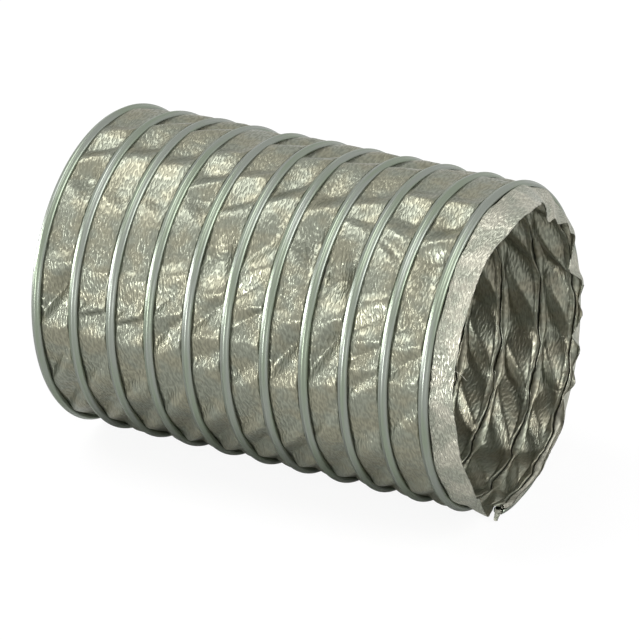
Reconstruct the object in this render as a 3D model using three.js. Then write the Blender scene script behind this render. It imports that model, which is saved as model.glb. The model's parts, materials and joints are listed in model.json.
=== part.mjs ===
// Flexible air duct: one strip of coated fabric wound on a helix, and one rolled steel clip profile wound
// round it, which grips the two hems of neighbouring turns. The duct lies on its side.
// Millimetres, +Z up. X runs along the duct, and the origin is on the floor under its middle.
// The clip and the fabric are parted under each turn, on the line where the duct rests, so that the
// turns can swing and close up one by one.
import * as THREE from "three";

// Driving dimensions
const boreDiameter = 200; // clear between the seams, for a 200 mm duct fitting
const pitch = 27; // from one clip turn to the next, as the duct lies
const turnCount = 11; // whole turns of the clip
const fabricThickness = 0.8;
const foldsPerTurn = 15; // creases of the fabric round the duct
const foldDepth = 3.2; // from the creases down to the valleys between them
const firstFold = 0.79; // of a fold's spacing, from the foot to the first crease
const valleyLow = 0.25; // of a fold's spacing, from a crease to the lower end of the valley past it
const valleyHigh = 0.75; // the same at its upper end, as it climbs from clip to clip
const clipWidth = 6.6; // across the bead, along the duct
const clipHeight = 4.3; // from the foot of its walls to its crown
const clipSheet = 0.8; // thickness of the rolled steel
const clipShoulder = 1.4; // slope between the crown and each wall
const clearance = 0.3; // between pieces that touch
const turnLean = 14.7; // how far the foot of each turn stands ahead of its top
const endDrawBack = 9.5; // how far the last half turn is drawn back at its free end
const tail = 18; // degrees that the clip and its hems run on past their last whole turn
const floorFlat = 0.5; // depth of the flat under each turn

// How far the cut edge of the fabric stands ahead of the last clip turn: [degrees round from the foot, reach].
// It hangs forward over the near side, and is cut back where the tail of the clip crosses it at the foot.
const flapReach = [
  [0, 14.9],
  [18, 15.2],
  [30, 20],
  [45, 22.6],
  [66, 22.4],
  [100, 17.8],
  [138, 18.2],
  [174, 26],
  [186, 24.4],
  [210, 12],
  [234, 6.8],
  [336, 5.6],
  [360, 4],
];

// Sizes that follow from them
const boreRadius = boreDiameter / 2;
const fabricOuter = boreRadius + fabricThickness;
const clipFoot = fabricOuter + clearance;
const clipCrown = clipFoot + clipHeight;
const clipHalf = clipWidth / 2;
const channelHalf = clipHalf - clipSheet;
const hemHalf = channelHalf - clearance;
const hemTop = clipCrown - clipSheet - clearance;
const fabricEdge = hemHalf + clearance;
const axisHeight = clipCrown - floorFlat;
const flatAngle = Math.acos(axisHeight / clipCrown);

const materials = {
  clip: { color: 0xa9b3ab, roughness: 0.42, metalness: 0.75 },
  fabric: { color: 0x8f8d78, roughness: 0.5, metalness: 0.45 },
  hem: { color: 0x5a5a4a, roughness: 0.7, metalness: 0.2 },
};

// Angles round one turn, from its foot over the -Y side, the top and the +Y side back to the foot.
// The first and last step are the flat that rests on the floor, and the rest have two steps to a fold.
function turnAngles() {
  const step = Math.PI / foldsPerTurn;
  const angles = [0, flatAngle];
  for (let i = 1; i < 2 * foldsPerTurn - 1; i++) angles.push(step * (i + 0.5));
  angles.push(2 * Math.PI - flatAngle, 2 * Math.PI);
  return angles;
}

// The same for the clip and its hems, which run on past their last turn.
function steelAngles(turn) {
  const past = 2 * Math.PI + THREE.MathUtils.degToRad(tail);
  return turn === turnCount - 1 ? [...turnAngles(), 2 * Math.PI + flatAngle, past] : turnAngles();
}

// Where the folds lie on a ring, at a share of the way across a bay: a valley and a crease by turns, and
// at the two ends the place between them where the fabric is parted. height is 1 on a crease.
function foldAt(ring, across) {
  const spacing = (2 * Math.PI) / foldsPerTurn;
  const crease = spacing * (Math.ceil(ring / 2) - 1 + firstFold);
  const valley = valleyLow + (valleyHigh - valleyLow) * across;
  if (ring === 0 || ring > 2 * foldsPerTurn) {
    const parted = 1 - firstFold;
    const height = Math.max(1 - parted / valley, (parted - valley) / (1 - valley));
    return { angle: ring === 0 ? 0 : 2 * Math.PI, height };
  }
  if (ring % 2 === 0) return { angle: crease, height: 1 };
  return { angle: crease - spacing * (1 - valley), height: 0 };
}

// Place along the duct of the middle of one clip turn at an angle.
function clipX(turn, angle) {
  const wound = pitch * (turn + angle / (2 * Math.PI));
  const lean = (turnLean * (1 + Math.cos(angle))) / 2;
  const pastTop = THREE.MathUtils.clamp(angle / Math.PI - 1, 0, 1);
  const drawn = turn === turnCount - 1 ? endDrawBack * pastTop ** 2 : 0;
  return wound + lean - drawn;
}

// How far the cut edge stands ahead of the last clip turn at an angle.
function flapReachAt(angle) {
  const degrees = THREE.MathUtils.radToDeg(angle);
  const next = Math.max(1, flapReach.findIndex(([at]) => at >= degrees - 1e-6));
  const [fromAngle, fromReach] = flapReach[next - 1];
  const [toAngle, toReach] = flapReach[next];
  return THREE.MathUtils.mapLinear(degrees, fromAngle, toAngle, fromReach, toReach);
}

// One turn swept round the duct over its rings' angles. sectionAt(angle, ring) gives the outline there, as
// [place along the duct, radius] pairs, with a third value where a point lies at an angle of its own. Half
// the clearance is left at each end, and nothing reaches below the floor.
function woundSolid(angles, sectionAt) {
  const sections = angles.map(sectionAt);
  const count = sections[0].length;
  const last = angles.length - 1;
  const positions = [];
  angles.forEach((angle, ring) => {
    const inset = (clearance / 2) * (ring === 0 ? -1 : ring === last ? 1 : 0);
    for (const [x, radius, ownAngle = angle] of sections[ring]) {
      const y = inset - radius * Math.sin(ownAngle);
      const z = axisHeight - radius * Math.cos(ownAngle);
      positions.push(x, y, Math.max(0, z));
    }
  });
  const index = [];
  for (let ring = 0; ring < last; ring++) {
    for (let i = 0; i < count; i++) {
      const a = ring * count + i;
      const b = ring * count + ((i + 1) % count);
      // the outer and the inner half of an outline are cut on the same diagonal, so a thin wall stays whole
      if (i < count / 2) index.push(a, a + count, b, b, a + count, b + count);
      else index.push(a, a + count, b + count, a, b + count, b);
    }
  }
  for (const [ring, facesOut] of [[0, true], [last, false]]) {
    const outline = sections[ring].map(([x, radius]) => new THREE.Vector2(x, radius));
    for (const [a, b, c] of THREE.ShapeUtils.triangulateShape(outline, [])) {
      const start = ring * count;
      index.push(start + a, start + (facesOut ? b : c), start + (facesOut ? c : b));
    }
  }
  const geometry = new THREE.BufferGeometry();
  geometry.setAttribute("position", new THREE.Float32BufferAttribute(positions, 3));
  geometry.setIndex(index);
  geometry.computeVertexNormals();
  return geometry;
}

// The clip profile: a channel with sloped shoulders, open towards the fabric.
function clipSection(middle) {
  const shoulderHalf = clipHalf - clipShoulder;
  const outline = [
    [clipHalf, clipFoot],
    [clipHalf, clipCrown - clipShoulder],
    [shoulderHalf, clipCrown],
    [-shoulderHalf, clipCrown],
    [-clipHalf, clipCrown - clipShoulder],
    [-clipHalf, clipFoot],
    [-channelHalf, clipFoot],
    [-channelHalf, clipCrown - clipSheet],
    [channelHalf, clipCrown - clipSheet],
    [channelHalf, clipFoot],
  ];
  return outline.map(([x, radius]) => [middle + x, radius]);
}

// The two folded hems that the clip squeezes together.
function hemSection(middle) {
  return [
    [middle + hemHalf, boreRadius],
    [middle + hemHalf, hemTop],
    [middle - hemHalf, hemTop],
    [middle - hemHalf, boreRadius],
  ];
}

// A plain width of fabric from one place along the duct to another.
function fabricSection(from, to) {
  return [
    [to, boreRadius],
    [to, fabricOuter],
    [from, fabricOuter],
    [from, boreRadius],
  ];
}

// The fabric between two clip turns: flat in and just past each clip, with creases that stand out between
// them. Its valleys stay level with the bore, so that a fitting passes through.
function foldedSection(turn, angle, ring) {
  const lip = clipHalf + clearance;
  const edge = (side, reach) => clipX(turn + side, angle) + (side ? -reach : reach);
  const columns = [[edge(0, fabricEdge), 0], [edge(0, lip), 0]];
  for (const across of [1 / 3, 2 / 3]) {
    const { angle: own, height } = foldAt(ring, across);
    const from = clipX(turn, own) + lip;
    const to = clipX(turn + 1, own) - lip;
    columns.push([from + (to - from) * across, foldDepth * height, own]);
  }
  columns.push([edge(1, lip), 0], [edge(1, fabricEdge), 0]);
  const outside = columns.map(([x, rise, own]) => [x, fabricOuter + rise, own]);
  const inside = columns.map(([x, rise, own]) => [x, boreRadius + rise, own]);
  return [...outside.reverse(), ...inside];
}

function clipTurn(turn) {
  return woundSolid(steelAngles(turn), (angle) => clipSection(clipX(turn, angle)));
}

function hemTurn(turn) {
  return woundSolid(steelAngles(turn), (angle) => hemSection(clipX(turn, angle)));
}

function fabricBay(turn) {
  return woundSolid(turnAngles(), (angle, ring) => foldedSection(turn, angle, ring));
}

// The cut end of the strip, ahead of the last clip turn.
function endFlap() {
  return woundSolid(turnAngles(), (angle) => {
    const middle = clipX(turnCount - 1, angle);
    return fabricSection(middle + fabricEdge, middle + flapReachAt(angle));
  });
}

// Least distance between the steel of neighbouring clip turns, measured on the points of their outlines.
function leastTurnGap() {
  const points = Array.from({ length: turnCount }, (_, turn) =>
    turnAngles().flatMap((angle) =>
      clipSection(clipX(turn, angle)).map(
        ([x, radius]) => new THREE.Vector3(x, -radius * Math.sin(angle), -radius * Math.cos(angle)),
      ),
    ),
  );
  let least = Infinity;
  for (let turn = 1; turn < turnCount; turn++) {
    // the last ring of a turn meets the first ring of the next across the parting, so it is left out
    const ring = clipSection(0).length;
    for (const a of points[turn - 1].slice(0, -ring)) {
      for (const b of points[turn].slice(ring)) least = Math.min(least, a.distanceTo(b));
    }
  }
  return least;
}

const duct = new THREE.Group();

function addPiece(name, geometry, material) {
  const mesh = new THREE.Mesh(geometry, new THREE.MeshStandardMaterial(material));
  mesh.name = name;
  duct.add(mesh);
}

for (let turn = 0; turn < turnCount; turn++) {
  const number = String(turn + 1).padStart(2, "0");
  addPiece(`clip_turn_${number}`, clipTurn(turn), materials.clip);
  addPiece(`hem_turn_${number}`, hemTurn(turn), materials.hem);
  if (turn < turnCount - 1) addPiece(`fabric_bay_${number}`, fabricBay(turn), materials.fabric);
}
addPiece("end_flap", endFlap(), materials.fabric);

const length = new THREE.Box3().setFromObject(duct);
duct.position.x = -(length.min.x + length.max.x) / 2;
console.log(`least gap between clip turns: ${leastTurnGap().toFixed(2)} mm`);

export default duct;
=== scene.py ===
# Looks of a flexible air duct: a strip of metallic coated fabric wound on a helix, with its hems held from
# outside by a rolled steel clip. Metres, +Z up; the duct lies along X, with its loose cut end at +X.
import json
import math

import bpy
import numpy as np
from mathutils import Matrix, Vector, noise


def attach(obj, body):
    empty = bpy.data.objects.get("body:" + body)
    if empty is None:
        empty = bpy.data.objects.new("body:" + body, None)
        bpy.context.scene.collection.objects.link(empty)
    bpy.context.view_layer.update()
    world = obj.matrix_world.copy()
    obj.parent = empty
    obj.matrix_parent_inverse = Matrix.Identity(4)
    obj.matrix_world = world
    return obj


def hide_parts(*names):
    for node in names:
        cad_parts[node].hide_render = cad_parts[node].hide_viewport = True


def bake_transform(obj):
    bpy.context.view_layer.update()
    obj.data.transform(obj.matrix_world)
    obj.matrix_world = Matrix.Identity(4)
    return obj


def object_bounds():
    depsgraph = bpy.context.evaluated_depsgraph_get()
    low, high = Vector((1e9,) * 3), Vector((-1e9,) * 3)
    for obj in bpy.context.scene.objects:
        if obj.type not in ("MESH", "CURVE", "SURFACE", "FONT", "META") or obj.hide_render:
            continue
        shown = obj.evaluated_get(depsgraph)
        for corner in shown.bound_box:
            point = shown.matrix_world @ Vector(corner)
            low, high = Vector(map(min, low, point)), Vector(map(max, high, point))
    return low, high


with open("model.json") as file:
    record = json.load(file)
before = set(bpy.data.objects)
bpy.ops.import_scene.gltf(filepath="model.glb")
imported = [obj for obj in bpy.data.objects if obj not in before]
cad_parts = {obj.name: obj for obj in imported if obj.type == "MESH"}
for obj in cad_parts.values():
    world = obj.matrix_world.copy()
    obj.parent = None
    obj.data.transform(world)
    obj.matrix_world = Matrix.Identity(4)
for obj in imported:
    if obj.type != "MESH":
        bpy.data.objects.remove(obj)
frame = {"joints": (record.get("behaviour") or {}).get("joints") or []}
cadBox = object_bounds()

mm = 0.001

view = {
    "target": (0.0034, 0.0, 0.0955),
    "azimuth": 26.98,  # degrees round from the side, towards the cut end
    "elevation": 26.28,
    "distance": 2.2025,
    "lens": 194.0,  # millimetres, as the sensor's width is
    "sensor": 36.0,
    "nearest": 0.01,
    "farthest": 50,
}


def faceDuct(thing, azimuth, elevation):  # turns a camera or a sun to the duct, returns the way back to it
    around, above = math.radians(azimuth), math.radians(elevation)
    level = math.cos(above)
    back = Vector((math.sin(around) * level, -math.cos(around) * level, math.sin(above)))
    thing.rotation_euler = (-back).to_track_quat("-Z", "Y").to_euler()
    bpy.context.scene.collection.objects.link(thing)
    return back


def makeCamera():
    data = bpy.data.cameras.new("camera")
    data.lens, data.sensor_width = view["lens"], view["sensor"]
    data.clip_start, data.clip_end = view["nearest"], view["farthest"]
    camera = bpy.data.objects.new("camera", data)
    back = faceDuct(camera, view["azimuth"], view["elevation"])
    camera.location = Vector(view["target"]) + back * view["distance"]
    bpy.context.scene.camera = camera


makeCamera()
print("camera in place")

# the winding, worked out from the hinges of the frame, which stand over the feet of the turns
hinges = [joint for joint in frame["joints"] if joint["type"] == "hinge"]
firstFoot, secondFoot = hinges[0]["pos_m"][0], hinges[1]["pos_m"][0]
axisHeight = hinges[0]["pos_m"][2]
pitch = secondFoot - firstFoot
turnCount = len(hinges) + 1
crownRadius = cadBox[1].y

winding = {
    "lean": 14.7 * mm,  # foot of each turn ahead of its top
    "drawBack": 9.5 * mm,  # how far the last half turn is drawn back at its free end
    "joinSpan": 24,  # degrees under the duct over which one turn's motion passes to the next
    "joinSteps": 10,
    "fabricStep": 1.25,  # degrees
    "clipStep": 2.5,
    "barGirth": 20 * mm,  # room that the outline of a bar takes in its flat pattern
}
joinHalf = winding["joinSpan"] / 2


def clipX(theta):  # middle of the clip, at an angle counted from the start of the first turn, in degrees
    angle = np.radians(theta)
    along = firstFoot - pitch + pitch * angle / (2 * np.pi)
    lean = winding["lean"] * (np.cos(angle) - 1) / 2
    pastTop = np.clip(angle / np.pi - (2 * turnCount - 1), 0, 1)
    return along + lean - winding["drawBack"] * pastTop**2


def alongStrip(theta):  # way along the winding to an angle, measured on the crown of the clip
    return np.radians(theta) * crownRadius


def onDuct(x, radius, theta):  # a point from its place along the duct, its radius and its angle
    angle = np.radians(theta)
    x, radius, angle = np.broadcast_arrays(x, radius, angle)
    points = np.stack([x, -radius * np.sin(angle), axisHeight - radius * np.cos(angle)], -1)
    points[..., 2] = np.maximum(points[..., 2], 0)
    return points


def turnRows(turn, step, tail=0):  # angles of one turn's own arc, between the joins under it
    start = 0 if turn == 1 else 360 * (turn - 1) + joinHalf
    stop = 360 * turn + tail if turn == turnCount else 360 * turn - joinHalf
    return np.linspace(start, stop, round((stop - start) / step) + 1)


def joinRows(turn):  # angles of the join that starts a turn
    middle = 360 * (turn - 1)
    return np.linspace(middle - joinHalf, middle + joinHalf, winding["joinSteps"] + 1)


def rise(value, start, span):  # 0 up to a start, 1 from a span past it
    return np.clip((value - start) / span, 0, 1)


def unevenly(theta, perDegree, row):  # smooth uneven steps along the strip, one row of noise for each use
    return np.array([noise.noise(Vector((t * perDegree, row, 0))) for t in theta])


folds = {
    "spacing": 24.5,  # degrees between creases
    "wander": 2.5,  # degrees to either side, for a crease that doesn't show
    "climb": (-1, 4),  # least and most that such a crease climbs to the right, on either side of its middle
    "valleyLow": 0.26,  # where the valley lies between two creases, at each side of a bay
    "valleyHigh": 0.74,
    "valleyWander": 2,
    "before": (-60, -60, -54, -48),  # a fold ahead of the start of the strip
    "runOn": 60,  # degrees from the last whole turn to the last crease
    "slope": 0.19,  # depth of a fold over its width
    "least": 0.1,  # degrees that two creases are kept apart
    "leastGap": 6,  # width that narrower folds count for
    "turnFrom": 0.08,  # least and most of a fold's width that lies below its valley
    "turnTo": 0.92,
    "narrow": 1.3,  # how much shallower a fold is whose valley lies close above its crease
    "rounding": 0.6,  # of creases and valleys, 0 for sharp ones and 1 for round ones
    "seed": 5,
}
# Folds on the side of each bay that shows, in degrees up from the foot: where the crease starts at the left
# and ends at the right, then the same for the valley above it.
shownFolds = {
    1: [
        (44, 56, 50, 68), (64, 79, 70, 86), (90.5, 91, 95, 110), (113, 115, 118, 119.5),
        (141, 133, 147, 146), (152, 157, 158, 163), (168, 172, 175, 178),
    ],
    2: [
        (45, 55, 51, 66), (67, 77, 73, 84), (90, 90.5, 96, 100), (98.5, 102, 99.5, 111),
        (113.5, 114, 117, 117.5), (139, 134, 144, 142.5), (157, 160, 166, 168),
    ],
    3: [
        (44, 54, 50, 64), (66, 73, 71, 82), (90, 91, 96, 100), (98.5, 102.5, 99.5, 110.5),
        (113, 114, 117, 117.5), (139, 135, 144, 143), (157, 160, 165, 169),
    ],
    4: [
        (40, 52, 47, 62), (62, 74, 68, 82), (88, 95, 94, 104), (103, 106, 105, 116),
        (117, 120, 121.5, 124.5), (142, 136, 147, 147), (150, 156, 158, 160), (168, 172, 175, 178),
    ],
    5: [
        (40, 52, 48, 62), (62, 72, 68, 80), (86, 90, 90.5, 95.5), (99, 100.5, 102, 113),
        (113.5, 116, 127, 129), (142, 146, 147, 153), (159, 162, 165, 168),
    ],
    6: [
        (44, 52, 50, 62), (60, 70, 66, 77), (82, 88, 88, 95), (101, 101.5, 105, 113),
        (112, 114.5, 115, 124), (124, 129, 130, 141), (150, 156, 158, 166),
    ],
    7: [
        (42, 52, 50, 62), (60, 70, 64, 76), (88, 88.5, 94, 107), (111, 112.5, 115.5, 116),
        (136, 119, 141, 141), (150, 155, 161, 163),
    ],
    8: [
        (42, 52, 48, 62), (68, 80, 71, 86.5), (91.5, 93, 97, 112), (112.5, 117, 129, 130),
        (150, 147, 153, 153), (157, 161, 164, 168),
    ],
    9: [
        (42, 52, 48, 62), (66, 74, 72, 82), (88, 98, 93, 100.5), (100, 102.5, 103, 109.5),
        (110, 112, 113.5, 120), (122.5, 126, 126, 128.5), (144, 136, 147, 141), (151, 147, 158, 156.5),
        (167, 168, 175, 176),
    ],
    10: [
        (46, 54, 52, 62), (77, 88, 82, 93), (98.5, 101, 101.5, 110), (111.5, 113, 115.5, 119),
        (133, 120, 141, 143), (147, 152, 158, 160), (168, 170, 175, 176),
    ],
    11: [
        (45, 51, 52, 62), (70, 74, 76, 86), (95, 97, 101, 112), (120, 122, 127, 138),
        (145, 148, 151, 161),
    ],
}


def windFolds():  # every fold of the strip in one run, those that don't show filled in evenly
    rng = np.random.default_rng(folds["seed"])
    listed = [folds["before"]]
    for bay, row in shownFolds.items():
        listed += [tuple(360 * (bay - 1) + at for at in fold) for fold in row]
    closing = 360 * turnCount + folds["runOn"]
    stray = folds["valleyWander"]
    run = []
    for fold, after in zip(listed, listed[1:] + [(closing, closing)]):
        run.append(fold)
        low, high = (fold[0] + fold[1]) / 2, (after[0] + after[1]) / 2
        extra = max(0, round((high - low) / folds["spacing"]) - 1)
        step = (high - low) / (extra + 1)
        for i in range(extra):
            at = low + step * (i + 1) + rng.uniform(-1, 1) * folds["wander"]
            climb = rng.uniform(*folds["climb"])
            valley = [step * folds[end] + rng.uniform(-stray, stray) for end in ("valleyLow", "valleyHigh")]
            run.append((at - climb, at + climb, at - climb + valley[0], at + climb + valley[1]))
    run.append((closing, closing, closing, closing))
    return np.array(run, float)


foldRun = windFolds()
creaseMiddles, valleyMiddles = foldRun[:, :2].mean(1), foldRun[:, 2:].mean(1)
valleyShare = (valleyMiddles - creaseMiddles)[:-1] / np.diff(creaseMiddles)
foldStrength = np.minimum(1, 2 * valleyShare) ** folds["narrow"]


def foldDepth(theta, across):  # (share of the way from crease to valley, depth below the crease)
    crease = foldRun[:, 0] + (foldRun[:, 1] - foldRun[:, 0]) * across
    valley = foldRun[:, 2] + (foldRun[:, 3] - foldRun[:, 2]) * across
    i = np.clip(np.searchsorted(crease, theta) - 1, 0, len(crease) - 2)
    gap = np.maximum(crease[i + 1] - crease[i], folds["least"])
    place = rise(theta, crease[i], gap)
    turn = np.clip((valley[i] - crease[i]) / gap, folds["turnFrom"], folds["turnTo"])
    share = np.where(place < turn, place / turn, (1 - place) / (1 - turn))
    share = share + folds["rounding"] * (share * share * (3 - 2 * share) - share)
    deep = folds["slope"] * alongStrip(np.maximum(gap, folds["leastGap"]))
    return share, share * deep * foldStrength[i]


cloth = {
    "thickness": 0.5 * mm,
    "rim": 100.6 * mm,  # radius where it goes under the clip
    "climb": 1.4 * mm,  # how far it rides up the wall of the clip at the foot of a turn
    "climbTop": 3.0 * mm,  # the same at its top
    "puff": 3.9 * mm,  # how far a crease arches out between two clips
    "archPower": 0.65,  # below 1, the arch and the folds rise fast from the clip and stay level between
    "foldPower": 0.6,
    "edgeShare": 0.23,  # how much of a fold is left under the clip
    "clipEdge": 3.6 * mm,  # from the middle of the clip
    "slotHalf": 0.7 * mm,  # half the gap between two hems, seen from inside
    "lipShort": 0.1 * mm,  # how far a lip stops short of the edge of the clip
    "zigzag": 1.5 * mm,  # how far the folds push that gap to either side
    "ragged": 0.8 * mm,  # small uneven steps of that gap
    "raggedMost": 0.4,
    "raggedPerDegree": 0.31,
    "raggedRow": 5.3,
    "crumple": 0.3 * mm,  # height of the small swells
    "crumpleSize": 13 * mm,
    "crumpleDrawn": 0.6,  # below 1, the swells are longer round the duct than along it
}
lips = [(0.0, 2.0), (0.0, 0.3), (0.25, -0.5), (0.85, -0.55)]  # past the gap and out from the rim, mm
backCells, frontCells = 6, winding["joinSteps"]
bayCells = backCells + frontCells
lipColumns = len(lips) + 1


def slotX(theta):  # middle of the gap between the hems inside the clip
    share, _ = foldDepth(theta, 0.0)
    ragged = unevenly(theta, cloth["raggedPerDegree"], cloth["raggedRow"])
    steps = cloth["ragged"] * np.clip(ragged, -cloth["raggedMost"], cloth["raggedMost"])
    return clipX(theta) + cloth["zigzag"] * (2 * share - 1) + steps


def climbAt(theta):
    return cloth["climb"] + (cloth["climbTop"] - cloth["climb"]) * (1 - np.cos(np.radians(theta))) / 2


def rimRadius(theta, across):
    return cloth["rim"] - cloth["edgeShare"] * foldDepth(theta, across)[1]


def lipSide(theta, side):  # columns from inside the gap to the edge of the clip, one side of a clip turn
    bay = theta if side > 0 else theta - 360
    rim = rimRadius(bay, 0.0 if side > 0 else 1.0)
    slot = slotX(theta)
    edge = clipX(theta) + side * cloth["clipEdge"]
    columns = [(slot + side * (cloth["slotHalf"] + past * mm), rim + out * mm) for past, out in lips]
    columns.append((edge - side * cloth["lipShort"], rim))
    return columns


def crumple(x, theta):  # small uneven swells, in metres
    size = cloth["crumpleSize"]
    around = alongStrip(theta) / size * cloth["crumpleDrawn"]
    flat = np.stack([x / size, around, np.zeros_like(x)], -1)
    found = [noise.noise(Vector(p)) for p in flat.reshape(-1, 3)]
    return cloth["crumple"] * np.array(found).reshape(x.shape)


def bayPoints(theta):  # the strip between a clip turn and the next, as rows by columns of points
    left, right = lipSide(theta, 1), lipSide(theta + 360, -1)
    edgeLeft = clipX(theta) + cloth["clipEdge"]
    edgeRight = clipX(theta + 360) - cloth["clipEdge"]
    middle = []
    for cell in range(bayCells + 1):
        across = cell / bayCells
        bulge = 1 - (2 * across - 1) ** 2
        x = edgeLeft + (edgeRight - edgeLeft) * across
        _, depth = foldDepth(theta, across)
        share = cloth["edgeShare"] + (1 - cloth["edgeShare"]) * bulge ** cloth["foldPower"]
        arch = climbAt(theta) + (cloth["puff"] - climbAt(theta)) * bulge ** cloth["archPower"]
        radius = cloth["rim"] + arch - depth * share
        middle.append((x, radius + bulge * crumple(x, theta)))
    columns = left + middle + right[::-1]
    return np.stack([onDuct(x, radius, theta) for x, radius in columns], 1)


def stripSurface(pointsAt, theta):  # points and outward normals of a strip
    points = pointsAt(theta)
    nudge = 0.2  # degrees
    alongTurn = pointsAt(theta + nudge) - pointsAt(theta - nudge)
    acrossStrip = np.gradient(points, axis=1)
    normals = np.cross(acrossStrip, alongTurn)
    return points, normals / np.maximum(np.linalg.norm(normals, axis=-1, keepdims=True), 1e-12)


def addObject(name, points, faces, flat, *materials):  # flat is each point's place in the flat pattern
    mesh = bpy.data.meshes.new(name)
    mesh.from_pydata(points.tolist(), [], faces)
    mesh.polygons.foreach_set("use_smooth", np.ones(len(mesh.polygons), bool))
    corners = np.zeros(len(mesh.loops), np.int32)
    mesh.loops.foreach_get("vertex_index", corners)
    mesh.uv_layers.new(name="strip").data.foreach_set("uv", flat[corners].astype(np.float32).ravel())
    for material in materials:
        mesh.materials.append(material)
    mesh.update()
    piece = bpy.data.objects.new(name, mesh)
    bpy.context.scene.collection.objects.link(piece)
    return piece


def shell(name, points, normals, flat, cells):  # a closed sheet of cloth from chosen cells of a grid
    half = normals.reshape(-1, 3) * cloth["thickness"] / 2
    flatPoints = points.reshape(-1, 3)
    used = sorted({v for cell in cells for v in cell})
    place = {v: i for i, v in enumerate(used)}
    outer = [[place[v] for v in cell] for cell in cells]
    count = len(used)
    edges = {(a, b) for cell in outer for a, b in zip(cell, cell[1:] + cell[:1])}
    faces = outer + [[v + count for v in reversed(cell)] for cell in outer]
    faces += [[b, a, a + count, b + count] for a, b in edges if (b, a) not in edges]
    both = np.concatenate([flatPoints[used] + half[used], flatPoints[used] - half[used]])
    pattern = np.tile(flat.reshape(-1, 2)[used], (2, 1))
    piece = addObject(name, both, faces, pattern, fabricPaint, insidePaint)
    sides = np.zeros(len(faces), np.int32)
    sides[len(outer) : 2 * len(outer)] = 1
    piece.data.polygons.foreach_set("material_index", sides)
    facing = normals.reshape(-1, 3)[used]
    piece.data.normals_split_custom_set_from_vertices(np.concatenate([facing, -facing]).tolist())
    return piece, used


def windBar(name, sectionAt, theta, material):  # a closed bar swept along the winding
    sections = [sectionAt(t) for t in theta]
    count = len(sections[0])
    points = np.concatenate([onDuct(s[:, 0], s[:, 1], t) for s, t in zip(sections, theta)])
    faces = []
    for row in range(len(theta) - 1):
        for i in range(count):
            a, b = row * count + i, row * count + (i + 1) % count
            faces.append([a, a + count, b + count, b])
    last = (len(theta) - 1) * count
    faces.append(list(range(count)))
    faces.append([last + i for i in reversed(range(count))])
    girth = np.concatenate([np.linspace(0, winding["barGirth"], count)] * len(theta))
    length = np.repeat(alongStrip(theta), count)
    return addObject(name, points, faces, np.stack([length, girth], -1), material)


def blendBy(piece, weights, bodyFrom, bodyTo):
    # The points are laid flat in the order of their weights, eased the other way from a blend that eases in
    # and out, the object's transform is baked on them, and they are put back where they rest. No blend
    # between the two bodies is set here.
    resting = np.zeros(len(piece.data.vertices) * 3)
    piece.data.vertices.foreach_get("co", resting)
    laid = np.zeros((len(weights), 3))
    laid[:, 0] = 0.5 - np.sin(np.arcsin(1 - 2 * np.clip(weights, 0, 1)) / 3)
    piece.data.vertices.foreach_set("co", laid.ravel())
    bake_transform(piece)
    piece.data.vertices.foreach_set("co", resting)
    piece.data.update()


class Wire:  # a socket of a material, so that sums on it add their Math nodes
    def __init__(self, paint, socket):
        self.paint, self.socket = paint, socket

    def sum(self, operation, first, second):
        return self.paint.node("Math", {"operation": operation}, {0: first, 1: second})

    def __add__(self, other):
        return self.sum("ADD", self, other)

    def __radd__(self, other):
        return self.sum("ADD", other, self)

    def __sub__(self, other):
        return self.sum("SUBTRACT", self, other)

    def __rsub__(self, other):
        return self.sum("SUBTRACT", other, self)

    def __mul__(self, other):
        return self.sum("MULTIPLY", self, other)

    def __rmul__(self, other):
        return self.sum("MULTIPLY", other, self)


class Paint:  # the nodes of a material or of the world
    def __init__(self, owner):
        owner.use_nodes = True
        self.owner, self.tree = owner, owner.node_tree
        self.tree.nodes.clear()

    def node(self, kind, settings=None, inputs=None, output=0):
        made = self.tree.nodes.new("ShaderNode" + kind)
        for key, value in (settings or {}).items():
            setattr(made, key, value)
        for key, value in (inputs or {}).items():
            if isinstance(value, Wire):
                self.tree.links.new(value.socket, made.inputs[key])
            else:
                made.inputs[key].default_value = value
        return Wire(self, made.outputs[output]) if made.outputs else None

    def mix(self, factor, first, second):
        return self.node("Mix", {"data_type": "RGBA"}, {0: factor, 6: first, 7: second}, 2)

    def scale(self, color, factor):
        return self.node("VectorMath", {"operation": "SCALE"}, {0: color, "Scale": factor})

    def strip(self, alongScale, acrossScale, turned=0.0):  # place on the strip, in cells of a pattern
        flat = self.node("UVMap", {"uv_map": "strip"})
        inputs = {"Vector": flat, "Angle": turned}
        turnedFlat = self.node("VectorRotate", {"rotation_type": "Z_AXIS"}, inputs)
        scale = (alongScale, acrossScale, 1.0)
        return self.node("VectorMath", {"operation": "MULTIPLY"}, {0: turnedFlat, 1: scale})

    def speckle(self, place, detail=2.0):
        inputs = {"Vector": place, "Scale": 1.0, "Detail": detail}
        return self.node("TexNoise", {"noise_dimensions": "2D"}, inputs)

    def ramp(self, value, low, high):  # 0 at low, 1 at high, eased
        inputs = {"Value": value, "From Min": low, "From Max": high}
        return self.node("MapRange", {"interpolation_type": "SMOOTHSTEP"}, inputs)

    def surface(self, **inputs):
        named = {key.replace("_", " "): value for key, value in inputs.items()}
        shader = self.node("BsdfPrincipled", {}, named)
        self.node("OutputMaterial", {}, {"Surface": shader})
        return self.owner


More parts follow.
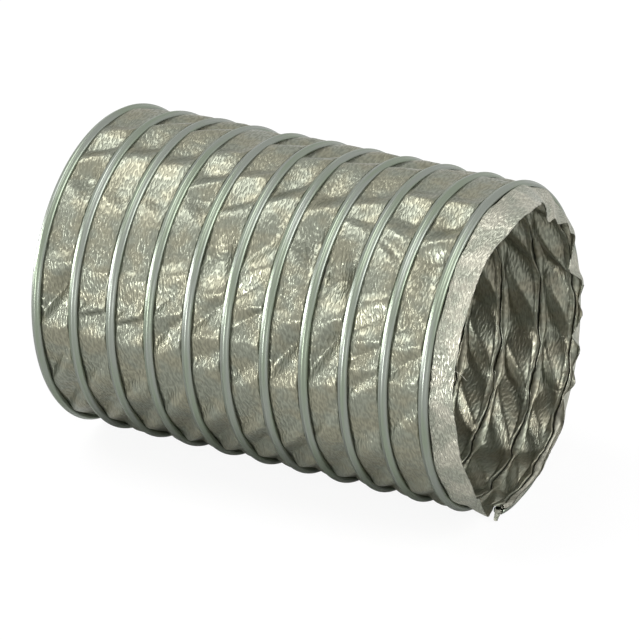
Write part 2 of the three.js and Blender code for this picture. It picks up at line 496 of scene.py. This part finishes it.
fabricLook = {
    "outside": {
        "brown": (0.213, 0.21, 0.155, 1),
        "grey": (0.197, 0.208, 0.165, 1),
        "metallic": 0.85,
        "rough": 0.41,
        "bump": 0.2 * mm,
    },
    "inside": {
        "brown": (0.25, 0.24, 0.18, 1),
        "grey": (0.24, 0.25, 0.197, 1),
        "metallic": 0.8,
        "rough": 0.47,
        "bump": 0.12 * mm,
    },
    "collar": {  # the crumpled cloth of the cut end: the same cloth painted paler than the rest, painted light where the cut end faces the lamps
        "brown": (0.385, 0.377, 0.31, 1),
        "grey": (0.285, 0.295, 0.24, 1),
        "metallic": 0.72,
        "rough": 0.46,
        "bump": 0.45 * mm,
    },
    "fleckDark": 0.86,  # tone of the ground, and of the flecks on it
    "fleckPale": 1.18,
    "fleckAlong": 1 / (3.6 * mm),
    "fleckAcross": 1 / (1.2 * mm),
    "fleckDetail": 0.5,
    "fleckEnds": (0.32, 0.68),  # noise at which a fleck starts and is full
    "fleckGloss": 0.1,  # how much less rough a fleck is
    "slant": math.radians(4),
    "patch": 1 / (17 * mm),
    "patchEnds": (0.36, 0.64),
    "wornFrom": 285,  # degrees round the last turn, over which the inside is painted paler and less metallic, like the cut end: painted light where the lamp shines in through the open end
    "wornTo": 330,
    "wornMetallic": 0.4,
}


def fabricMaterial(side):
    look = fabricLook[side]
    paint = Paint(bpy.data.materials.new(f"coated_fabric_{side}"))
    place = paint.strip(fabricLook["fleckAlong"], fabricLook["fleckAcross"], fabricLook["slant"])
    fleck = paint.ramp(paint.speckle(place, fabricLook["fleckDetail"]), *fabricLook["fleckEnds"])
    patches = paint.speckle(paint.strip(fabricLook["patch"], fabricLook["patch"]))
    patch = paint.ramp(patches, *fabricLook["patchEnds"])
    ground, metallic = paint.mix(patch, look["brown"], look["grey"]), look["metallic"]
    # painted light: the inside of the last turn, from low on its far side to the cut end, is painted paler
    # and less metallic where the lamp shines in through the open end
    if side == "inside":
        along = paint.node("SeparateXYZ", {}, {"Vector": paint.strip(1, 1)}, output="X")
        lastTurn = 360 * (turnCount - 1)
        ends = [alongStrip(lastTurn + fabricLook[end]) for end in ("wornFrom", "wornTo")]
        paintedLight = paint.ramp(along, *ends)
        ground = paint.mix(paintedLight, ground, fabricLook["collar"]["brown"])
        metallic = metallic - paintedLight * (metallic - fabricLook["wornMetallic"])
    shade = fabricLook["fleckDark"] + fleck * (fabricLook["fleckPale"] - fabricLook["fleckDark"])
    color = paint.scale(ground, shade)
    bump = paint.node("Bump", {}, {"Height": fleck, "Strength": 1.0, "Distance": look["bump"]})
    rough = look["rough"] - fleck * fabricLook["fleckGloss"]
    return paint.surface(Base_Color=color, Metallic=metallic, Roughness=rough, Normal=bump)


clipLook = {
    "sage": (0.215, 0.25, 0.192, 1),
    "lilac": (0.242, 0.263, 0.232, 1),
    "tintAlong": 1 / (60 * mm),
    "tintAcross": 1 / (9 * mm),
    "tintEnds": (0.35, 0.65),
    "metallic": 1.0,
    "rough": 0.28,
    "grainAlong": 1 / (12 * mm),  # rolling marks
    "grainAcross": 1 / (0.5 * mm),
    "grainRough": 0.12,
    "grainBump": 0.15,
    "grainDepth": 0.1 * mm,
}


def clipMaterial():
    paint = Paint(bpy.data.materials.new("galvanised_clip"))
    tints = paint.speckle(paint.strip(clipLook["tintAlong"], clipLook["tintAcross"]))
    tint = paint.ramp(tints, *clipLook["tintEnds"])
    grain = paint.speckle(paint.strip(clipLook["grainAlong"], clipLook["grainAcross"]))
    color = paint.mix(tint, clipLook["sage"], clipLook["lilac"])
    inputs = {"Height": grain, "Strength": clipLook["grainBump"], "Distance": clipLook["grainDepth"]}
    bump = paint.node("Bump", {}, inputs)
    rough = clipLook["rough"] + grain * clipLook["grainRough"]
    return paint.surface(Base_Color=color, Metallic=clipLook["metallic"], Roughness=rough, Normal=bump)


# The hems are the same coated cloth, painted nearly black: painted shade, for the dark inside of the clip's
# slot.
hemShadeLook = {
    "dark": (0.02, 0.02, 0.015, 1),
    "pale": (0.07, 0.07, 0.05, 1),
    "threadAlong": 1 / (3 * mm),
    "threadAcross": 1 / (0.6 * mm),
    "metallic": 0.1,
    "rough": 0.8,
}


def hemShadeMaterial():
    paint = Paint(bpy.data.materials.new("folded_hem"))
    threads = paint.speckle(paint.strip(hemShadeLook["threadAlong"], hemShadeLook["threadAcross"]), 1.0)
    color = paint.mix(threads, hemShadeLook["dark"], hemShadeLook["pale"])
    return paint.surface(Base_Color=color, Metallic=hemShadeLook["metallic"], Roughness=hemShadeLook["rough"])


# the third look is the fabric painted paler for the cut end: painted light
fabricPaint, insidePaint, paintedLightCollarPaint = (fabricMaterial(side) for side in ("outside", "inside", "collar"))
clipPaint, hemShadePaint = clipMaterial(), hemShadeMaterial()
print("materials ready")

clip = {
    "half": 3.3 * mm,  # half its width
    "foot": 101.1 * mm,  # radius at the foot of its walls
    "sheet": 0.8 * mm,
    "shoulder": 1.8 * mm,
    "dome": 0.9 * mm,  # how far the crown stands over its shoulders
    "shoulderSteps": 4,
    "crownPlaces": (0.6, 0.3, 0.0),  # points of the crown, as shares of the way out to its shoulders
    "tail": 17,  # degrees that the steel runs on past its last whole turn
}


def clipOutline():  # outline of the profile about its middle, (across, radius)
    half, foot, shoulder = clip["half"], clip["foot"], clip["shoulder"]
    top = crownRadius - clip["dome"]
    outside = [(half, foot)]
    for i in range(clip["shoulderSteps"] + 1):
        turn = math.pi / 2 * i / clip["shoulderSteps"]
        outside.append((half - shoulder * (1 - math.cos(turn)), top - shoulder * (1 - math.sin(turn))))
    flat = half - shoulder
    for across in clip["crownPlaces"]:
        outside.append((flat * across, top + clip["dome"] * (1 - across**2)))
    outside += [(-across, radius) for across, radius in reversed(outside[:-1])]
    innerHalf, innerTop = half - clip["sheet"], crownRadius - clip["sheet"] - clip["dome"]
    inside = [(-innerHalf, foot), (-innerHalf, innerTop), (innerHalf, innerTop), (innerHalf, foot)]
    return np.array(outside + inside)


hem = {"half": 2.1 * mm, "low": 103.0 * mm, "high": 104.1 * mm}
hemCorners = [(1, "low"), (1, "high"), (-1, "high"), (-1, "low")]
hemOutline = np.array([(side * hem["half"], hem[end]) for side, end in hemCorners])


def wound(outline):  # gives the outline at an angle of the winding
    return lambda theta: outline + np.array([clipX(theta), 0])


def clipTurns():
    parts = [("clip", clipOutline(), clipPaint, "clip_steel"), ("hem", hemOutline, hemShadePaint, "hem_fabric")]
    for label, outline, paint, slot in parts:
        for turn in range(1, turnCount + 1):
            rows = turnRows(turn, winding["clipStep"], clip["tail"])
            shown = paintedLightCollarPaint if label == "hem" and turn == turnCount else paint  # its cut end shows, and takes the paler look of the cut end, painted light
            arc = windBar(f"{label}_{turn:02d}", wound(outline), rows, shown)
            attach(arc, f"turn_{turn:02d}")
            made = [arc]
            if turn > 1:
                rows = joinRows(turn)
                join = windBar(f"{label}_join_{turn:02d}", wound(outline), rows, paint)
                weights = np.repeat(np.linspace(0, 1, len(rows)), len(outline))
                blendBy(join, weights, f"bay_{turn - 1:02d}", f"turn_{turn:02d}")
                made.append(join)
            for piece in made:
                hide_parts(f"{label}_turn_{turn:02d}")


clipTurns()
print("clip and hems wound")


def gridCells(rowFrom, rowTo, columnFrom, columnTo, columns):
    cells = []
    for row in range(rowFrom, rowTo):
        for column in range(columnFrom, columnTo):
            a = row * columns + column
            cells.append([a, a + 1, a + columns + 1, a + columns])
    return cells


def flatPattern(theta, columns):  # places in the flat strip for rows by columns of points
    across = np.linspace(0, pitch, columns)
    return np.stack(np.broadcast_arrays(alongStrip(theta)[:, None], across), -1)


def splitJoin(rows, hinge, columns):
    # The half of a join next to its second clip is split on its diagonal, from corner to corner: the cells
    # below the diagonal stay with the join, and those above it go to the front strip.
    below, above = [], []
    for row in range(rows):
        for column in range(hinge, columns - 1):
            cell = row * columns + column
            corners = [cell, cell + 1, cell + columns + 1, cell + columns]
            side = row + min(column - hinge, frontCells)
            if column - hinge >= frontCells or side > frontCells - 1:
                above.append(corners)
            elif side < frontCells - 1:
                below.append(corners)
            else:
                below.append([corners[0], corners[1], corners[3]])
                above.append([corners[1], corners[2], corners[3]])
    return below, above


def bayPieces(bay):
    join = joinRows(bay)[:-1] if bay > 1 else np.zeros(0)
    theta = np.concatenate([join, turnRows(bay, winding["fabricStep"])])
    start, stop = len(join), len(theta) - 1
    if bay == turnCount - 1:  # the last bay ends half way through the join, where the cut end takes over
        theta = np.concatenate([theta, joinRows(turnCount)[1 : winding["joinSteps"] // 2 + 1]])
    points, normals = stripSurface(bayPoints, theta)
    columns = points.shape[1]
    flat = flatPattern(theta, columns)
    hinge = lipColumns + backCells  # the column between the two strips
    below, above = splitJoin(start, hinge, columns)
    back = gridCells(start, stop, 0, hinge, columns)
    front = gridCells(start, stop, hinge, columns - 1, columns) + above
    joining = gridCells(0, start, 0, hinge, columns) + below
    ending = gridCells(stop, len(theta) - 1, 0, columns - 1, columns)
    column = np.arange(columns)
    rampIn = rise(theta, 360 * (bay - 1) - joinHalf, winding["joinSpan"])[:, None]
    rampOut = rise(theta, 360 * bay - joinHalf, winding["joinSpan"])[:, None]
    overBack = np.tile(rise(column, lipColumns, backCells), (len(theta), 1))
    overFront = rise(column, hinge, frontCells)
    label, this, after = f"{bay:02d}", f"bay_{bay:02d}", f"turn_{bay + 1:02d}"
    made = []
    for name, cells, weights, bodies in (
        (f"bay_back_{label}", back, overBack, (f"turn_{label}", this)),
        (f"bay_front_{label}", front, overFront + rampIn - 1, (this, after)),
        (f"bay_join_{label}", joining, overFront + rampIn, (f"bay_{bay - 1:02d}", f"turn_{label}")),
        (f"bay_end_{label}", ending, overFront + rampOut, (this, after)),
    ):
        if cells:
            piece, used = shell(name, points, normals, flat, cells)
            shares = np.clip(weights, 0, 1).reshape(-1)[used]
            blendBy(piece, np.tile(shares, 2), *bodies)
            made.append(piece)
    for piece in made:
        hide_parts(f"fabric_bay_{label}")


for bay in range(1, turnCount):
    bayPieces(bay)
print("fabric bays made")

flap = {
    "foldShare": 0.3,
    "farFoldShare": 0.8,  # on the side away from the near edge, where the cloth is loose
    "looseFrom": 195,  # degrees where the loose side starts, and over how many it comes in
    "looseIn": 30,
    "looseTo": 345,  # where it ends, and over how many it goes out
    "looseOut": 20,
    "crowding": 1.2,  # above 1, the columns lie closer together at the clip
    "fray": 0.4 * mm,
    "frayPerDegree": 0.9,
    "frayRow": 3.7,
    "softened": 1.2,  # degrees over which the corners of the cut edge are rounded
    "cutFrom": 15,  # degrees where the strip leaves the tail of the clip
    "cutSpan": 4,
}
# the cut edge: (degrees round from the foot, mm ahead of the clip, mm pushed in)
flapEdge = [
    (0, 14, 0), (16, 14, 0), (19, 15.3, -0.6), (30, 20, -4), (38, 21.5, -2.5), (47, 22.8, 0),
    (57, 23.8, 0), (66, 22.3, 0), (76, 21.5, 0), (98, 17.9, 0), (109, 17.3, 0), (124, 18.6, 0),
    (140, 18.2, 0), (155, 20.6, 0), (164, 23.6, 0), (176, 26, 0), (186, 24.4, 0), (195, 17.5, 4.7),
    (208, 13, 10.4), (215, 9, 11), (228, 8.1, 11.5), (235, 8.4, -0.8), (244, 7.8, -0.5), (251, 5.5, 5),
    (258, 4.2, 11), (265, 9, -0.8), (274, 4.6, 4), (279, 7.6, -0.8), (288, 4.2, 7), (293, 7.4, -0.6),
    (300, 4.2, 6), (306, 7.6, -0.6), (313, 4.2, 6), (318, 6, 0), (336, 5.6, 0), (350, 4.5, 0),
    (378, 3.8, 0),
]


def flapAt(theta):  # (how far the cut edge stands ahead of the clip, how far it is pushed in)
    degrees = theta - 360 * (turnCount - 1)
    at, reach, inward = np.array(flapEdge, float).T
    around = degrees + flap["softened"] * np.array([-1, -0.5, 0, 0.5, 1])[:, None]
    reach, inward = (np.interp(around, at, row).mean(0) for row in (reach, inward))
    frayed = flap["fray"] * unevenly(theta, flap["frayPerDegree"], flap["frayRow"])
    return reach * mm + frayed, inward * mm


def flapPoints(theta):
    left = lipSide(theta, 1)
    reach, inward = flapAt(theta)
    start, end = left[-1][0], clipX(theta) + reach
    degrees = theta - 360 * (turnCount - 1)
    loose = rise(degrees, flap["looseFrom"], flap["looseIn"])
    loose = loose * rise(-degrees, -flap["looseTo"], flap["looseOut"])
    free = flap["foldShare"] + (flap["farFoldShare"] - flap["foldShare"]) * loose
    count = lipColumns + bayCells + 1
    columns = []
    for cell in range(1, count + 1):
        across = (cell / count) ** flap["crowding"]
        _, depth = foldDepth(theta, across)
        share = cloth["edgeShare"] + (free - cloth["edgeShare"]) * across
        x = start + (end - start) * across
        radius = cloth["rim"] + climbAt(theta) * (1 - across) - depth * share - inward * across
        columns.append((x, radius + across * crumple(x, theta)))
    loosened = np.stack([onDuct(x, radius, theta) for x, radius in left + columns], 1)
    strip = bayPoints(theta)  # held on both sides as far as the tail of the clip runs
    cut = rise(degrees, flap["cutFrom"], flap["cutSpan"])[:, None, None]
    return strip + (loosened - strip) * cut


def givePaintedLightCollar(piece):  # gives the outside of a piece the paler look of the cut end, painted light
    piece.data.materials[0] = paintedLightCollarPaint


def endFlap():
    middle = 360 * (turnCount - 1)
    join = np.linspace(middle, middle + joinHalf, winding["joinSteps"] // 2 + 1)
    theta = np.concatenate([join[:-1], turnRows(turnCount, winding["fabricStep"], clip["tail"])])
    points, normals = stripSurface(flapPoints, theta)
    rows, columns = points.shape[:2]
    flat = flatPattern(theta, columns)
    start = len(join) - 1
    main, _ = shell("flap", points, normals, flat, gridCells(start, rows - 1, 0, columns - 1, columns))
    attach(main, f"turn_{turnCount:02d}")
    cells = gridCells(0, start, 0, columns - 1, columns)
    joint, used = shell("flap_join", points, normals, flat, cells)
    ramp = (0.5 + (theta - middle) / winding["joinSpan"])[:, None]
    overFront = rise(np.arange(columns), lipColumns + backCells, frontCells)
    shares = np.clip(ramp + overFront, 0, 1).reshape(-1)[used]
    blendBy(joint, np.tile(shares, 2), f"bay_{turnCount - 1:02d}", f"turn_{turnCount:02d}")
    for piece in (main, joint):
        givePaintedLightCollar(piece)
        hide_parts("end_flap")


endFlap()

# the torn end of the hem, a tongue that hangs out of the cut clip, and a loose yarn of the cut edge
fray = {
    "tongueWidth": 4.4 * mm,
    "tongueTaper": 0.5,  # share of its width that it loses on the way to its tip
    "tongueRadius": 101.6 * mm,
    "tonguePast": 0.3,  # degrees past the cut end of the clip
    "tongueDrop": (-0.4 * mm, -3.4 * mm, -6.3 * mm),  # from the clip to its tip
    "tongueLean": 1.3,  # above 1, it hangs down first and leans sideways later
    "tongueTorn": 0.25 * mm,  # how uneven its sides are at the tip
    "tongueCurl": 0.25 * mm,
    "curlAcross": 4,  # radians of its wave from side to side, and from end to end
    "curlAlong": 5,
    "tongueFloor": 0.4 * mm,  # least height over the floor
    "tonguePattern": (3 * mm, 8 * mm),  # width and length in the flat pattern
    "tongueRows": 9,
    "tongueColumns": 5,
    "tongueSeed": 8,
    "yarnRadius": 0.17 * mm,
    "yarnAt": 107.5,  # degrees round from the foot
    "yarnRoot": 1 * mm,  # how far behind the cut edge it starts
    "yarnRun": (9.6 * mm, -0.8 * mm, -4.4 * mm),  # from its root to its tip
    "yarnSway": (0, 0.5 * mm, 0.9 * mm),  # how far its middle stands off the straight line
    "yarnPattern": (0.7 * mm, 0.1 * mm),  # one step along it and round it in the flat pattern
    "yarnSteps": 14,
    "yarnSides": 6,
}


def tornHem():
    rng = np.random.default_rng(fray["tongueSeed"])
    tailEnd = 360 * turnCount + clip["tail"] + fray["tonguePast"]
    first = onDuct(clipX(tailEnd), fray["tongueRadius"], tailEnd)
    rows, columns = fray["tongueRows"], fray["tongueColumns"]
    points = np.zeros((rows, columns, 3))
    for row in range(rows):
        share = row / (rows - 1)
        drop = np.array(fray["tongueDrop"]) * (share, share ** fray["tongueLean"], share)
        width = fray["tongueWidth"] * (1 - fray["tongueTaper"] * share)
        for column in range(columns):
            side = 0.5 - column / (columns - 1)
            torn = rng.uniform(-1, 1) * fray["tongueTorn"] * share
            curl = fray["tongueCurl"] * math.sin(fray["curlAcross"] * side + fray["curlAlong"] * share)
            points[row, column] = first + drop + np.array([side * width + torn, 0, curl])
    points[..., 2] = np.maximum(points[..., 2], fray["tongueFloor"])
    normals = np.cross(np.gradient(points, axis=1), np.gradient(points, axis=0))
    normals /= np.linalg.norm(normals, axis=-1, keepdims=True)
    wide, long = fray["tonguePattern"]
    flat = np.stack(np.meshgrid(np.linspace(0, wide, columns), np.linspace(0, long, rows)), -1)
    piece, _ = shell("torn_hem", points, normals, flat, gridCells(0, rows - 1, 0, columns - 1, columns))
    givePaintedLightCollar(piece)
    return piece


def looseYarn():
    theta = 360 * (turnCount - 1) + fray["yarnAt"]
    reach, _ = flapAt(np.array([theta]))
    first = onDuct(clipX(theta) + reach[0] - fray["yarnRoot"], cloth["rim"], theta)
    steps, sides = fray["yarnSteps"], fray["yarnSides"]
    points, flat, faces = [], [], []
    for step in range(steps + 1):
        share = step / steps
        sway = np.array(fray["yarnSway"]) * math.sin(math.pi * share)
        at = first + np.array(fray["yarnRun"]) * share + sway
        for side in range(sides):
            turn = 2 * math.pi * side / sides
            points.append(at + fray["yarnRadius"] * np.array([0, math.cos(turn), math.sin(turn)]))
            flat.append((step * fray["yarnPattern"][0], side * fray["yarnPattern"][1]))
    for step in range(steps):
        for side in range(sides):
            a, b = step * sides + side, step * sides + (side + 1) % sides
            faces.append([a, b, b + sides, a + sides])
    faces += [list(reversed(range(sides))), [steps * sides + side for side in range(sides)]]
    return addObject("loose_yarn", np.array(points), faces, np.array(flat), paintedLightCollarPaint)


for piece in (tornHem(), looseYarn()):
    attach(piece, f"turn_{turnCount:02d}")
    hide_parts("end_flap")
print("cut end made")

studio = {
    "floorSize": 4.0,
    "floorColor": (0.8, 0.8, 0.8, 1),
    "floorGlow": 0.87,  # how much of the seen floor is plain white, the rest keeps the shadow
    "glowStrength": 1.05,
    "white": (1, 1, 1, 1),
    "worldStrength": 0.31,
    "suns": [
        ("side", -75, 4, 1.6, 18),  # azimuth, elevation, strength, size in degrees
        ("front", 0, 4, 1.9, 20),
        ("top", -80, 60, 1.95, 42),
        ("end", 88, 36, 1.8, 40),
    ],
}


def shownRays(paint):  # 1 for the rays that see the background itself
    kinds = ("Camera", "Glossy", "Transmission")
    seen = [paint.node("LightPath", output=f"Is {kind} Ray") for kind in kinds]
    return paint.node("Math", {"operation": "ADD", "use_clamp": True}, {0: seen[0] + seen[1], 1: seen[2]})


def makeFloor():
    bpy.ops.mesh.primitive_plane_add(size=studio["floorSize"])
    floor = bpy.context.object
    floor.name = "floor"
    paint = Paint(bpy.data.materials.new("floor"))
    plain = paint.node("BsdfDiffuse", {}, {"Color": studio["floorColor"]})
    glow = paint.node("Emission", {}, {"Color": studio["white"], "Strength": studio["glowStrength"]})
    seen = paint.node("LightPath", output="Is Camera Ray")
    mixed = paint.node("MixShader", {}, {0: seen * studio["floorGlow"], 1: plain, 2: glow})
    paint.node("OutputMaterial", {}, {"Surface": mixed})
    floor.data.materials.append(paint.owner)


def makeLight():
    world = bpy.data.worlds.new("world")
    bpy.context.scene.world = world
    paint = Paint(world)
    sky = paint.node("Background", {}, {"Color": studio["white"], "Strength": studio["worldStrength"]})
    white = paint.node("Background", {}, {"Color": studio["white"], "Strength": 1.0})
    mixed = paint.node("MixShader", {}, {0: shownRays(paint), 1: sky, 2: white})
    paint.node("OutputWorld", {}, {"Surface": mixed})
    for name, azimuth, elevation, strength, size in studio["suns"]:
        lamp = bpy.data.lights.new(name, "SUN")
        lamp.energy, lamp.angle = strength, math.radians(size)
        faceDuct(bpy.data.objects.new(name, lamp), azimuth, elevation)
    bpy.context.scene.view_settings.view_transform = "Standard"


makeFloor()
makeLight()
print("studio set")
